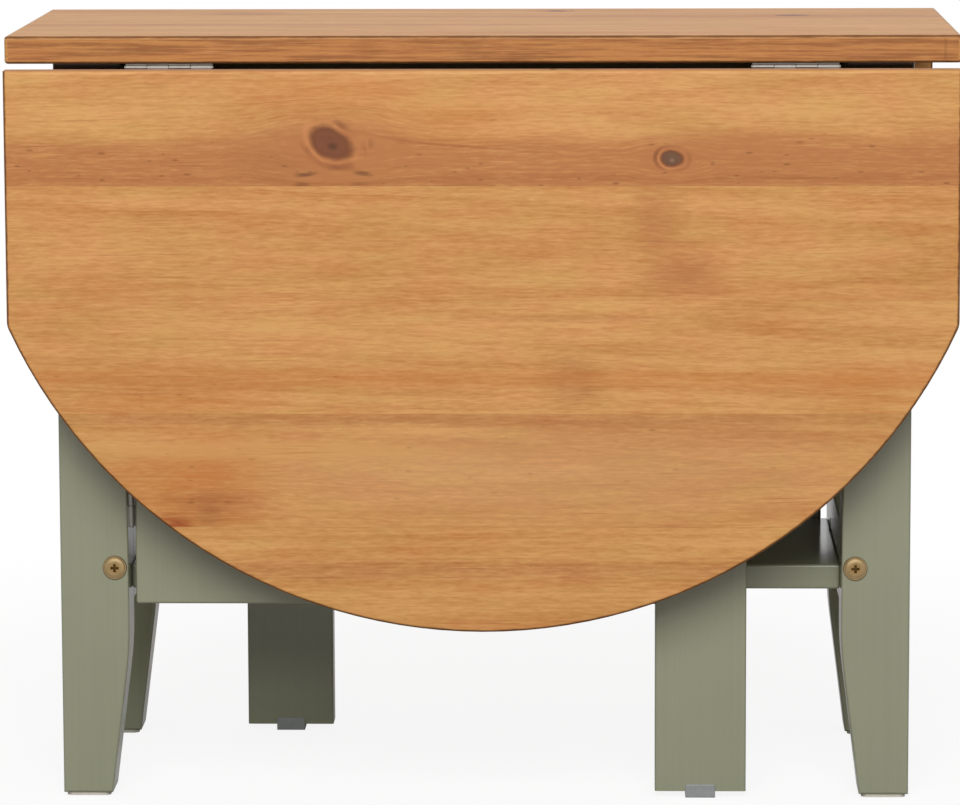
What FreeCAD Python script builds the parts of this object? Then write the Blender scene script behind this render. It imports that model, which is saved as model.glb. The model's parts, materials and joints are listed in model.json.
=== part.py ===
import FreeCAD
import Part
import math
import os
from FreeCAD import Matrix, Vector

# Drop leaf coffee table in millimetres, folded: both leaves hang and both gates are shut.
# +X runs along the hinges to the right, +Y runs from front to back, +Z is up.
# The origin is on the floor under the middle of the top.

# Top and leaves
TABLE_HEIGHT = 450.0
TOP_WIDTH = 550.0
TOP_DEPTH = 240.0
BOARD_THICKNESS = 16.0
BOARD_EDGE_RADIUS = 2.0
LEAF_WIDTH_RELIEF = 1.0
LEAF_LENGTH = 326.0
LEAF_SIDE = 147.0
LEAF_CORNER_RADIUS = 12.0
LEAF_GAP = 1.0

# Legs and frame
END_OVERHANG = 26.0
FRONT_OVERHANG = 16.0
LEG_WIDTH = 40.0
LEG_DEPTH = 32.0
LEG_FOOT_WIDTH = 29.0
LEG_TAPER_HEIGHT = 88.0
LEG_TAPER_EASE = 14.0
PAINTED_EDGE_RADIUS = 1.5
PAD_INSET = 1.6
PAD_CORNER_RADIUS = 4.0
PAD_THICKNESS = 2.0
PAD_NAIL_RADIUS = 1.0
PAD_NAIL_LENGTH = 12.0
RAIL_THICKNESS = 16.0
LOWER_RAIL_BOTTOM = 113.0
LOWER_RAIL_HEIGHT = 48.0
UPPER_RAIL_HEIGHT = 60.0
LOWER_STRETCHER_BOTTOM = 121.0
STRETCHER_GATE_CLEARANCE = 1.0
UPPER_STRETCHER_DEPTH = 100.0
STRETCHER_THICKNESS = 14.5
STRETCHER_EDGE_RADIUS = 1.5
RAIL_EDGE_RADIUS = 1.0

# Gates
GATE_THICKNESS = 20.0
GATE_BOTTOM = 115.5
GATE_HINGE_CLEARANCE = 0.8
GATE_END_SPACE = 55.5
GATE_LEG_WIDTH = 53.5
GATE_STILE_WIDTH = 42.0
GATE_RAIL_HEIGHT = 45.0
GATE_OPEN_ANGLE = 52.0
GLIDE_WIDTH = 17.5
GLIDE_THICKNESS = 3.7
GLIDE_WALL = 1.2
GLIDE_LIP = 4.2
GLIDE_CORNER_RADIUS = 1.6
STOP_LENGTH = 36.0
STOP_WIDTH = 12.0
STOP_HEIGHT = 8.0
STOP_CLEARANCE = 0.3

# Butt hinges, the same for leaves and gates
HINGE_LENGTH = 50.0
HINGE_KNUCKLE_PAIRS = 2
KNUCKLE_RADIUS = 1.8
KNUCKLE_CLEARANCE = 0.3
KNUCKLE_END_GAP = 0.5
HINGE_PIN_RADIUS = 0.9
HINGE_PIN_CLEARANCE = 0.05
HINGE_PIN_HEAD_RADIUS = 1.4
HINGE_PIN_HEAD = 0.5
PLATE_WIDTH = 13.5
PLATE_THICKNESS = 1.0
PIN_TO_BOARD = 2.2
LEAF_HINGE_INSET = 95.0
GATE_HINGE_INSET = 71.0

# Fasteners and their holes
HINGE_SCREW_RADIUS = 1.5
HINGE_SCREW_HEAD_RADIUS = 2.9
HINGE_SCREW_LENGTH = 11.0
HINGE_SCREW_SPREAD = 28.0
BOLT_RADIUS = 3.0
BOLT_FLANGE_RADIUS = 7.1
BOLT_FLANGE_THICKNESS = 1.0
BOLT_HEAD_RADIUS = 6.2
BOLT_HEAD_HEIGHT = 0.9
BOLT_RECESS_LENGTH = 4.8
BOLT_RECESS_WIDTH = 1.6
BOLT_RECESS_DEPTH = 2.0
BOLT_GRIP = 24.0
NUT_RADIUS = 5.0
NUT_LENGTH = 12.0
DOWEL_RADIUS = 4.0
DOWEL_LENGTH = 30.0
DOWEL_EDGE_INSET = 13.0
GATE_DOWEL_RADIUS = 3.0
WOOD_SCREW_RADIUS = 2.0
WOOD_SCREW_HEAD_RADIUS = 4.0
STRETCHER_SCREW_BITE = 28.0
STRETCHER_SCREW_SPREAD = 76.0
TOP_SCREW_BITE = 10.0
TOP_SCREW_END_INSET = 60.0
FASTENER_CLEARANCE = 0.05
HOLE_END_SPACE = 0.5
TOLERANCE = 0.001

# Places worked out from the sizes above
UNDERSIDE = TABLE_HEIGHT - BOARD_THICKNESS
BASE_HALF_WIDTH = TOP_WIDTH / 2 - END_OVERHANG
BASE_HALF_DEPTH = TOP_DEPTH / 2 - FRONT_OVERHANG
LEG_INNER_X = BASE_HALF_WIDTH - LEG_WIDTH
LEG_INNER_Y = BASE_HALF_DEPTH - LEG_DEPTH
RAIL_MIDDLE_X = LEG_INNER_X + RAIL_THICKNESS / 2
LOWER_BOLT_Z = LOWER_RAIL_BOTTOM + LOWER_RAIL_HEIGHT / 2
UPPER_BOLT_Z = UNDERSIDE - UPPER_RAIL_HEIGHT / 2
LEAF_PIN_Y = -TOP_DEPTH / 2 - LEAF_GAP / 2
LEAF_PIN_Z = UNDERSIDE - PIN_TO_BOARD
LEAF_HINGE_X = TOP_WIDTH / 2 - LEAF_HINGE_INSET
GATE_PIN_X = -LEG_INNER_X + PIN_TO_BOARD
GATE_PIN_Y = -BASE_HALF_DEPTH
GATE_START_X = GATE_PIN_X + PIN_TO_BOARD
GATE_END_X = LEG_INNER_X - GATE_END_SPACE
GATE_LEG_X = GATE_END_X - GATE_LEG_WIDTH
GATE_STILE_END_X = GATE_START_X + GATE_STILE_WIDTH
GATE_INNER_Y = GATE_PIN_Y + GATE_THICKNESS
LOWER_STRETCHER_DEPTH = -2 * (GATE_INNER_Y + STRETCHER_GATE_CLEARANCE)
GATE_TOP = LEAF_PIN_Z - KNUCKLE_RADIUS - GATE_HINGE_CLEARANCE

X = Vector(1, 0, 0)
Y = Vector(0, 1, 0)
Z = Vector(0, 0, 1)
ORIGIN = Vector(0, 0, 0)


def box(low, high):
    size = Vector(*high) - Vector(*low)
    return Part.makeBox(size.x, size.y, size.z, Vector(*low))


def frame(origin, along, across, into):
    """Local frame of a piece: x along it, y across it, z into the wood that it is fixed to."""
    return Matrix(
        along.x, across.x, into.x, origin.x,
        along.y, across.y, into.y, origin.y,
        along.z, across.z, into.z, origin.z,
        0, 0, 0, 1,
    )


def placed(shape, place):
    return shape.transformed(place, True)


def half_turn(shape):
    """The same piece on the other side of the table, turned half round its middle."""
    turned = shape.copy()
    turned.rotate(ORIGIN, Z, 180)
    return placed(turned, Matrix())


def mirrored(shape):
    return shape.mirror(ORIGIN, X)


def lowered(shape):
    """A piece of the front leaf, swung from level down to hanging about the leaf's hinge pin."""
    hanging = shape.copy()
    hanging.rotate(Vector(0, LEAF_PIN_Y, LEAF_PIN_Z), X, 90)
    return placed(hanging, Matrix())


def eased(solid, radius, keep_sharp=()):
    """Round the edges of a board, but not those that lie wholly on the named planes."""
    edges = []
    for edge in solid.Edges:
        bounds = edge.BoundBox
        spans = {"x": (bounds.XMin, bounds.XMax), "y": (bounds.YMin, bounds.YMax)}
        spans["z"] = (bounds.ZMin, bounds.ZMax)
        sharp = False
        for axis, value in keep_sharp:
            low, high = spans[axis]
            if abs(low - value) < TOLERANCE and abs(high - value) < TOLERANCE:
                sharp = True
        if not sharp:
            edges.append(edge)
    return solid.makeFillet(radius, edges)


def joined(solids):
    return Part.makeCompound(solids)


# Countersunk screws and round holes, made along local z from the head's outer face
def countersunk_screw(radius, head_radius, head_height, length):
    head = Part.makeCone(head_radius, radius, head_height)
    tip = radius * 2
    shank = Part.makeCylinder(radius, length - tip, Vector(0, 0, head_height))
    point = Part.makeCone(radius, radius / 4, tip, Vector(0, 0, head_height + length - tip))
    return head.fuse([shank, point]).removeSplitter()


def countersunk_hole(radius, head_radius, head_height, length):
    head = Part.makeCone(head_radius + FASTENER_CLEARANCE, radius + FASTENER_CLEARANCE, head_height)
    shank_length = head_height + length + HOLE_END_SPACE
    shank = Part.makeCylinder(radius + FASTENER_CLEARANCE, shank_length)
    return head.fuse(shank)


# Butt hinges: the pin lies on local x, the plate lies along local y against the board at local z
PLATE_START = KNUCKLE_RADIUS + KNUCKLE_CLEARANCE
PLATE_FACE = PIN_TO_BOARD - PLATE_THICKNESS


def hinge_screw_places(place):
    places = []
    for side in (-1, 1):
        seat = Vector(side * HINGE_SCREW_SPREAD / 2, PLATE_START + PLATE_WIDTH / 2, PLATE_FACE)
        places.append(place * frame(seat, X, Y, Z))
    return places


def hinge_screw_size():
    return HINGE_SCREW_RADIUS, HINGE_SCREW_HEAD_RADIUS, PLATE_THICKNESS, HINGE_SCREW_LENGTH


def hinge_screws(place):
    return [placed(countersunk_screw(*hinge_screw_size()), seat) for seat in hinge_screw_places(place)]


def hinge_screw_holes(place):
    return [placed(countersunk_hole(*hinge_screw_size()), seat) for seat in hinge_screw_places(place)]


def hinge_plate():
    start = -HINGE_LENGTH / 2
    knuckle_pitch = HINGE_LENGTH / (2 * HINGE_KNUCKLE_PAIRS)
    knuckle_length = knuckle_pitch - KNUCKLE_END_GAP
    plate = box((start, PLATE_START, PLATE_FACE), (-start, PLATE_START + PLATE_WIDTH, PIN_TO_BOARD))
    for pair in range(HINGE_KNUCKLE_PAIRS):
        knuckle_start = start + 2 * pair * knuckle_pitch + KNUCKLE_END_GAP / 2
        corner = Vector(knuckle_start, 0, 0)
        knuckle = Part.makeCylinder(KNUCKLE_RADIUS, knuckle_length, corner, X)
        tongue_end = (knuckle_start + knuckle_length, PLATE_START + PLATE_THICKNESS, PIN_TO_BOARD)
        tongue = box((knuckle_start, 0, PLATE_FACE), tongue_end)
        plate = plate.fuse([knuckle, tongue])
    bore_radius = HINGE_PIN_RADIUS + HINGE_PIN_CLEARANCE
    bore = Part.makeCylinder(bore_radius, HINGE_LENGTH, Vector(start, 0, 0), X)
    plate = plate.cut(bore)
    plate = plate.cut(hinge_screw_holes(Matrix()))
    return plate.removeSplitter()


def hinge_pin():
    half = HINGE_LENGTH / 2
    shaft = Part.makeCylinder(HINGE_PIN_RADIUS, HINGE_LENGTH, Vector(-half, 0, 0), X)
    near_head = Part.makeCylinder(HINGE_PIN_HEAD_RADIUS, HINGE_PIN_HEAD, Vector(-half, 0, 0), -X)
    far_head = Part.makeCylinder(HINGE_PIN_HEAD_RADIUS, HINGE_PIN_HEAD, Vector(half, 0, 0), X)
    return shaft.fuse([near_head, far_head]).removeSplitter()


def leaf_hinge_on_top(x):
    return frame(Vector(x, LEAF_PIN_Y, LEAF_PIN_Z), X, Y, Z)


def leaf_hinge_on_leaf(x):
    return frame(Vector(x, LEAF_PIN_Y, LEAF_PIN_Z), -X, -Y, Z)


def gate_hinge_on_leg(z):
    return frame(Vector(GATE_PIN_X, GATE_PIN_Y, z), Z, Y, -X)


def gate_hinge_on_gate(z):
    return frame(Vector(GATE_PIN_X, GATE_PIN_Y, z), -Z, Y, X)


LEAF_HINGES = {"left": -LEAF_HINGE_X, "right": LEAF_HINGE_X}
GATE_HINGES = {"lower": GATE_BOTTOM + GATE_HINGE_INSET, "upper": GATE_TOP - GATE_HINGE_INSET}


# Wooden dowels with chamfered ends, centred on the joint between two pieces
def dowel(radius, place):
    chamfer = radius / 4
    pin = Part.makeCylinder(radius, DOWEL_LENGTH, Vector(0, 0, -DOWEL_LENGTH / 2))
    ends = [edge for edge in pin.Edges if edge.Closed]
    return placed(pin.makeChamfer(chamfer, ends), place)


def dowel_hole(radius, place):
    length = DOWEL_LENGTH + 2 * HOLE_END_SPACE
    hole = Part.makeCylinder(radius + FASTENER_CLEARANCE, length, Vector(0, 0, -length / 2))
    return placed(hole, place)


# Joints of the side rails: at each one a bolt goes through the leg into a barrel nut in the rail
def rail_dowel_places():
    """Dowels on the front left rail ends, above and below each bolt."""
    places = []
    for middle, height in ((LOWER_BOLT_Z, LOWER_RAIL_HEIGHT), (UPPER_BOLT_Z, UPPER_RAIL_HEIGHT)):
        for side in (-1, 1):
            z = middle + side * (height / 2 - DOWEL_EDGE_INSET)
            places.append(frame(Vector(-RAIL_MIDDLE_X, -LEG_INNER_Y, z), X, -Z, Y))
    return places


def rail_bolt_places():
    """Bolts of the front left leg, with local z going in through the leg."""
    heights = (LOWER_BOLT_Z, UPPER_BOLT_Z)
    return [frame(Vector(-RAIL_MIDDLE_X, -BASE_HALF_DEPTH, z), X, -Z, Y) for z in heights]


def rail_bolt():
    length = LEG_DEPTH + BOLT_GRIP + NUT_RADIUS
    shank = Part.makeCylinder(BOLT_RADIUS, length)
    flange = Part.makeCylinder(BOLT_FLANGE_RADIUS, BOLT_FLANGE_THICKNESS, ORIGIN, -Z)
    head_base = Vector(0, 0, -BOLT_FLANGE_THICKNESS)
    crown_radius = BOLT_HEAD_RADIUS - BOLT_HEAD_HEIGHT / 2
    head = Part.makeCone(BOLT_HEAD_RADIUS, crown_radius, BOLT_HEAD_HEIGHT, head_base, -Z)
    bolt = shank.fuse([flange, head])
    crown = -BOLT_FLANGE_THICKNESS - BOLT_HEAD_HEIGHT
    long_half = BOLT_RECESS_LENGTH / 2
    short_half = BOLT_RECESS_WIDTH / 2
    floor = crown + BOLT_RECESS_DEPTH
    first = box((-long_half, -short_half, crown), (long_half, short_half, floor))
    second = box((-short_half, -long_half, crown), (short_half, long_half, floor))
    return bolt.cut([first, second]).removeSplitter()


def rail_bolt_hole():
    length = LEG_DEPTH + BOLT_GRIP + NUT_RADIUS + HOLE_END_SPACE
    return Part.makeCylinder(BOLT_RADIUS + FASTENER_CLEARANCE, length)


def barrel_nut():
    middle = Vector(-NUT_LENGTH / 2, 0, LEG_DEPTH + BOLT_GRIP)
    nut = Part.makeCylinder(NUT_RADIUS, NUT_LENGTH, middle, X)
    return nut.cut(rail_bolt_hole())


def barrel_nut_hole():
    """Blind hole from the inner face of the rail."""
    length = RAIL_THICKNESS / 2 + NUT_LENGTH / 2 + HOLE_END_SPACE
    start = Vector(RAIL_THICKNESS / 2, 0, LEG_DEPTH + BOLT_GRIP)
    return Part.makeCylinder(NUT_RADIUS + FASTENER_CLEARANCE, length, start, -X)


def rail_joint_holes():
    """Everything drilled at the front left rail joints."""
    holes = [dowel_hole(DOWEL_RADIUS, place) for place in rail_dowel_places()]
    for place in rail_bolt_places():
        holes.append(placed(rail_bolt_hole(), place))
        holes.append(placed(barrel_nut_hole(), place))
    return holes


def at_four_corners(solids):
    corners = []
    for solid in solids:
        other = mirrored(solid)
        corners += [solid, other, half_turn(solid), half_turn(other)]
    return corners


# Stretchers: flat boards between the side rails, screwed through the rails
# The lower one is a narrow shelf that fills the space between the two gates
UPPER_STRETCHER_BOTTOM = UNDERSIDE - STRETCHER_THICKNESS
STRETCHER_SCREW_HEAD = WOOD_SCREW_HEAD_RADIUS - WOOD_SCREW_RADIUS


def stretcher_screw_places():
    """Screws of the left ends, driven from the outer face of the side rail."""
    places = []
    for bottom in (LOWER_STRETCHER_BOTTOM, UPPER_STRETCHER_BOTTOM):
        for side in (-1, 1):
            y = side * STRETCHER_SCREW_SPREAD / 2
            z = bottom + STRETCHER_THICKNESS / 2
            places.append(frame(Vector(-LEG_INNER_X - RAIL_THICKNESS, y, z), Y, Z, X))
    return places


def stretcher_screw_size():
    length = RAIL_THICKNESS + STRETCHER_SCREW_BITE - STRETCHER_SCREW_HEAD
    return WOOD_SCREW_RADIUS, WOOD_SCREW_HEAD_RADIUS, STRETCHER_SCREW_HEAD, length


def stretcher_screws():
    left = [placed(countersunk_screw(*stretcher_screw_size()), seat) for seat in stretcher_screw_places()]
    return left + [half_turn(screw) for screw in left]


def stretcher_screw_holes():
    left = [placed(countersunk_hole(*stretcher_screw_size()), seat) for seat in stretcher_screw_places()]
    return left + [half_turn(hole) for hole in left]


def top_screw_places():
    """Screws from below through the upper stretcher into the top."""
    x = LEG_INNER_X - TOP_SCREW_END_INSET
    y = STRETCHER_SCREW_SPREAD / 2
    z = UPPER_STRETCHER_BOTTOM
    return [frame(Vector(i * x, j * y, z), X, Y, Z) for i in (-1, 1) for j in (-1, 1)]


def top_screw_size():
    length = STRETCHER_THICKNESS + TOP_SCREW_BITE - STRETCHER_SCREW_HEAD
    return WOOD_SCREW_RADIUS, WOOD_SCREW_HEAD_RADIUS, STRETCHER_SCREW_HEAD, length


def top_screws():
    return [placed(countersunk_screw(*top_screw_size()), seat) for seat in top_screw_places()]


def top_screw_holes():
    return [placed(countersunk_hole(*top_screw_size()), seat) for seat in top_screw_places()]


def stretcher(bottom, depth):
    low = (-LEG_INNER_X, -depth / 2, bottom)
    high = (LEG_INNER_X, depth / 2, bottom + STRETCHER_THICKNESS)
    board = eased(box(low, high), STRETCHER_EDGE_RADIUS)
    return board.cut(stretcher_screw_holes() + top_screw_holes())


def side_rail(bottom, height):
    """Left side rail, flush with the inner faces of the legs."""
    low = (-LEG_INNER_X - RAIL_THICKNESS, -LEG_INNER_Y, bottom)
    high = (-LEG_INNER_X, LEG_INNER_Y, bottom + height)
    ends = (("y", -LEG_INNER_Y), ("y", LEG_INNER_Y))
    board = eased(box(low, high), RAIL_EDGE_RADIUS, ends)
    front_holes = rail_joint_holes()
    rear_holes = [half_turn(mirrored(hole)) for hole in front_holes]
    return board.cut(front_holes + rear_holes + stretcher_screw_holes())


# Legs: straight outside, with the inner side bending softly into a taper to a narrower foot
def pad_place():
    """Middle of the front left leg's foot, with local z going up into it."""
    middle = Vector(-BASE_HALF_WIDTH + LEG_FOOT_WIDTH / 2, -BASE_HALF_DEPTH + LEG_DEPTH / 2, 0)
    return frame(middle, X, Y, Z)


def leg_pad():
    """Flat pad, a little smaller than the foot, with its nail."""
    half_width = LEG_FOOT_WIDTH / 2 - PAD_INSET
    half_depth = LEG_DEPTH / 2 - PAD_INSET
    slab = box((-half_width, -half_depth, 0), (half_width, half_depth, PAD_THICKNESS))
    corners = [edge for edge in slab.Edges if edge.BoundBox.ZLength > TOLERANCE]
    slab = slab.makeFillet(PAD_CORNER_RADIUS, corners)
    nail = Part.makeCylinder(PAD_NAIL_RADIUS, PAD_NAIL_LENGTH, Vector(0, 0, PAD_THICKNESS))
    return placed(slab.fuse(nail).removeSplitter(), pad_place())


def pad_nail_hole():
    length = PAD_NAIL_LENGTH + HOLE_END_SPACE
    start = Vector(0, 0, PAD_THICKNESS)
    return placed(Part.makeCylinder(PAD_NAIL_RADIUS + FASTENER_CLEARANCE, length, start), pad_place())


def front_left_leg(holds_gate):
    front = -BASE_HALF_DEPTH
    outer = -BASE_HALF_WIDTH
    inner = outer + LEG_WIDTH
    step = LEG_WIDTH - LEG_FOOT_WIDTH
    drop = LEG_TAPER_HEIGHT - PAD_THICKNESS
    angle = math.atan2(step, drop)
    bend_radius = LEG_TAPER_EASE / math.tan(angle / 2)
    sag = bend_radius / math.cos(angle / 2) - bend_radius
    top_outer = Vector(outer, front, UNDERSIDE)
    top_inner = Vector(inner, front, UNDERSIDE)
    knee = Vector(inner, front, LEG_TAPER_HEIGHT)
    bend_start = knee + Z * LEG_TAPER_EASE
    bend_middle = knee + Vector(-math.cos(angle / 2), 0, math.sin(angle / 2)) * sag
    bend_end = knee - Vector(math.sin(angle), 0, math.cos(angle)) * LEG_TAPER_EASE
    foot_inner = Vector(inner - step, front, PAD_THICKNESS)
    foot_outer = Vector(outer, front, PAD_THICKNESS)
    edges = [
        Part.LineSegment(top_outer, top_inner),
        Part.LineSegment(top_inner, bend_start),
        Part.Arc(bend_start, bend_middle, bend_end),
        Part.LineSegment(bend_end, foot_inner),
        Part.LineSegment(foot_inner, foot_outer),
        Part.LineSegment(foot_outer, top_outer),
    ]
    outline = Part.Wire([edge.toShape() for edge in edges])
    solid = Part.Face(outline).extrude(Vector(0, LEG_DEPTH, 0))
    rims = []
    for edge in solid.Edges:
        bounds = edge.BoundBox
        if bounds.YLength < TOLERANCE and bounds.ZMin < UNDERSIDE - TOLERANCE:
            rims.append(edge)
    solid = solid.makeFillet(PAINTED_EDGE_RADIUS, rims)
    holes = rail_joint_holes() + [pad_nail_hole()]
    if holds_gate:
        for z in GATE_HINGES.values():
            holes += hinge_screw_holes(gate_hinge_on_leg(z))
    return solid.cut(holes)


# Top: one board with rounded edges
def top_board():
    half_width = TOP_WIDTH / 2
    half_depth = TOP_DEPTH / 2
    board = box((-half_width, -half_depth, UNDERSIDE), (half_width, half_depth, TABLE_HEIGHT))
    board = eased(board, BOARD_EDGE_RADIUS)
    front_holes = []
    for x in LEAF_HINGES.values():
        front_holes += hinge_screw_holes(leaf_hinge_on_top(x))
    rear_holes = [half_turn(hole) for hole in front_holes]
    return board.cut(front_holes + rear_holes + top_screw_holes())


# Front leaf, drawn level with the top and then lowered
def leaf_board():
    near = -TOP_DEPTH / 2 - LEAF_GAP
    half = TOP_WIDTH / 2 - LEAF_WIDTH_RELIEF
    side_end = near - LEAF_SIDE
    near_left = Vector(-half, near, UNDERSIDE)
    near_right = Vector(half, near, UNDERSIDE)
    far_left = Vector(-half, side_end, UNDERSIDE)
    far_right = Vector(half, side_end, UNDERSIDE)
    tip = Vector(0, near - LEAF_LENGTH, UNDERSIDE)
    edges = [
        Part.LineSegment(near_left, far_left),
        Part.Arc(far_left, tip, far_right),
        Part.LineSegment(far_right, near_right),
        Part.LineSegment(near_right, near_left),
    ]
    outline = Part.Wire([edge.toShape() for edge in edges])
    solid = Part.Face(outline).extrude(Vector(0, 0, BOARD_THICKNESS))
    corners = []
    for edge in solid.Edges:
        bounds = edge.BoundBox
        if bounds.YMax < side_end + TOLERANCE and bounds.ZLength > TOLERANCE:
            corners.append(edge)
    solid = solid.makeFillet(LEAF_CORNER_RADIUS, corners)
    rims = [edge for edge in solid.Edges if edge.BoundBox.ZLength < TOLERANCE]
    solid = solid.makeFillet(BOARD_EDGE_RADIUS, rims)
    holes = []
    for x in LEAF_HINGES.values():
        holes += hinge_screw_holes(leaf_hinge_on_leaf(x))
    return lowered(solid.cut(holes))


def leaf_stop():
    """Block under the leaf: the opened gate leg slides under its low part and meets its high part."""
    turn = math.radians(GATE_OPEN_ANGLE)
    along = Vector(math.cos(turn), -math.sin(turn), 0)
    ahead = Vector(-math.sin(turn), -math.cos(turn), 0)
    reach = GATE_END_X - GATE_LEG_WIDTH / 2 - GATE_PIN_X
    middle = Vector(GATE_PIN_X, GATE_PIN_Y, UNDERSIDE) + along * reach
    place = frame(middle, ahead, along, -Z)
    half = STOP_LENGTH / 2
    pad_height = UNDERSIDE - GATE_TOP - STOP_CLEARANCE
    stop_end = STOP_CLEARANCE + STOP_WIDTH
    pad = box((-GATE_THICKNESS, -half, 0), (stop_end, half, pad_height))
    upstand = box((STOP_CLEARANCE, -half, 0), (stop_end, half, STOP_HEIGHT))
    block = pad.fuse(upstand).removeSplitter()
    return lowered(placed(block, place))


# Front gate: stile, two rails and a leg, joined with dowels, and a glide under the leg
def gate_dowel_places():
    """Two dowels in each joint of the gate frame, with local z along the rails."""
    places = []
    middle_y = GATE_PIN_Y + GATE_THICKNESS / 2
    for joint_x in (GATE_STILE_END_X, GATE_LEG_X):
        for bottom in (GATE_BOTTOM, GATE_TOP - GATE_RAIL_HEIGHT):
            for z in (bottom + DOWEL_EDGE_INSET, bottom + GATE_RAIL_HEIGHT - DOWEL_EDGE_INSET):
                places.append(frame(Vector(joint_x, middle_y, z), Y, Z, X))
    return places


def gate_dowel_holes():
    return [dowel_hole(GATE_DOWEL_RADIUS, place) for place in gate_dowel_places()]


def gate_stile():
    low = (GATE_START_X, GATE_PIN_Y, GATE_BOTTOM)
    board = eased(box(low, (GATE_STILE_END_X, GATE_INNER_Y, GATE_TOP)), PAINTED_EDGE_RADIUS,
                  (("x", GATE_STILE_END_X),))
    holes = gate_dowel_holes()
    for z in GATE_HINGES.values():
        holes += hinge_screw_holes(gate_hinge_on_gate(z))
    return board.cut(holes)


def gate_rail(bottom):
    low = (GATE_STILE_END_X, GATE_PIN_Y, bottom)
    high = (GATE_LEG_X, GATE_INNER_Y, bottom + GATE_RAIL_HEIGHT)
    ends = (("x", GATE_STILE_END_X), ("x", GATE_LEG_X))
    return eased(box(low, high), PAINTED_EDGE_RADIUS, ends).cut(gate_dowel_holes())


def gate_leg():
    low = (GATE_LEG_X, GATE_PIN_Y, GLIDE_THICKNESS)
    high = (GATE_END_X, GATE_INNER_Y, GATE_TOP)
    board = eased(box(low, high), PAINTED_EDGE_RADIUS, (("z", GLIDE_THICKNESS),))
    return board.cut(gate_dowel_holes())


def gate_glide():
    middle = GATE_END_X - GATE_LEG_WIDTH / 2
    left = middle - GLIDE_WIDTH / 2
    right = middle + GLIDE_WIDTH / 2
    front = GATE_PIN_Y - GLIDE_WALL
    rear = GATE_INNER_Y + GLIDE_WALL
    clip = box((left, front, 0), (right, rear, GLIDE_THICKNESS + GLIDE_LIP))
    corners = []
    for edge in clip.Edges:
        bounds = edge.BoundBox
        if bounds.ZMin > GLIDE_THICKNESS and bounds.XLength < TOLERANCE:
            corners.append(edge)
    clip = clip.makeFillet(GLIDE_CORNER_RADIUS, corners)
    rims = [edge for edge in clip.Edges if edge.BoundBox.YLength < TOLERANCE]
    clip = clip.makeFillet(GLIDE_WALL / 2, rims)
    slot_low = (left, GATE_PIN_Y, GLIDE_THICKNESS)
    slot_high = (right, GATE_INNER_Y, GLIDE_THICKNESS + GLIDE_LIP)
    return clip.cut(box(slot_low, slot_high))


def save(name, shape):
    shape.exportStep("parts/" + name + ".step")


os.makedirs("parts", exist_ok=True)
SIDES = {"front": lambda shape: shape, "rear": half_turn}

save("top", top_board())
save("leg_pads", joined(at_four_corners([leg_pad()])))

gate_side_leg = front_left_leg(True)
plain_leg = mirrored(front_left_leg(False))
save("front_left_leg", gate_side_leg)
save("front_right_leg", plain_leg)
save("rear_right_leg", half_turn(gate_side_leg))
save("rear_left_leg", half_turn(plain_leg))

lower_rail = side_rail(LOWER_RAIL_BOTTOM, LOWER_RAIL_HEIGHT)
upper_rail = side_rail(UNDERSIDE - UPPER_RAIL_HEIGHT, UPPER_RAIL_HEIGHT)
save("left_lower_rail", lower_rail)
save("right_lower_rail", mirrored(lower_rail))
save("left_upper_rail", upper_rail)
save("right_upper_rail", mirrored(upper_rail))
save("lower_stretcher", stretcher(LOWER_STRETCHER_BOTTOM, LOWER_STRETCHER_DEPTH))
save("upper_stretcher", stretcher(UPPER_STRETCHER_BOTTOM, UPPER_STRETCHER_DEPTH))

bolts = [placed(rail_bolt(), place) for place in rail_bolt_places()]
nuts = [placed(barrel_nut(), place) for place in rail_bolt_places()]
dowels = [dowel(DOWEL_RADIUS, place) for place in rail_dowel_places()]
save("rail_bolts", joined(at_four_corners(bolts)))
save("barrel_nuts", joined(at_four_corners(nuts)))
save("rail_dowels", joined(at_four_corners(dowels)))
save("stretcher_screws", joined(stretcher_screws()))
save("top_screws", joined(top_screws()))

leaf = leaf_board()
stop = leaf_stop()
top_hinge_screws = []
leaf_hinge_screws = []
leaf_pins = []
for x in LEAF_HINGES.values():
    top_hinge_screws += hinge_screws(leaf_hinge_on_top(x))
    leaf_hinge_screws += [lowered(screw) for screw in hinge_screws(leaf_hinge_on_leaf(x))]
    leaf_pins.append(placed(hinge_pin(), leaf_hinge_on_top(x)))

gate_dowels = [dowel(GATE_DOWEL_RADIUS, place) for place in gate_dowel_places()]
leg_hinge_screws = []
gate_hinge_screws = []
gate_pins = []
for z in GATE_HINGES.values():
    leg_hinge_screws += hinge_screws(gate_hinge_on_leg(z))
    gate_hinge_screws += hinge_screws(gate_hinge_on_gate(z))
    gate_pins.append(placed(hinge_pin(), gate_hinge_on_leg(z)))

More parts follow.
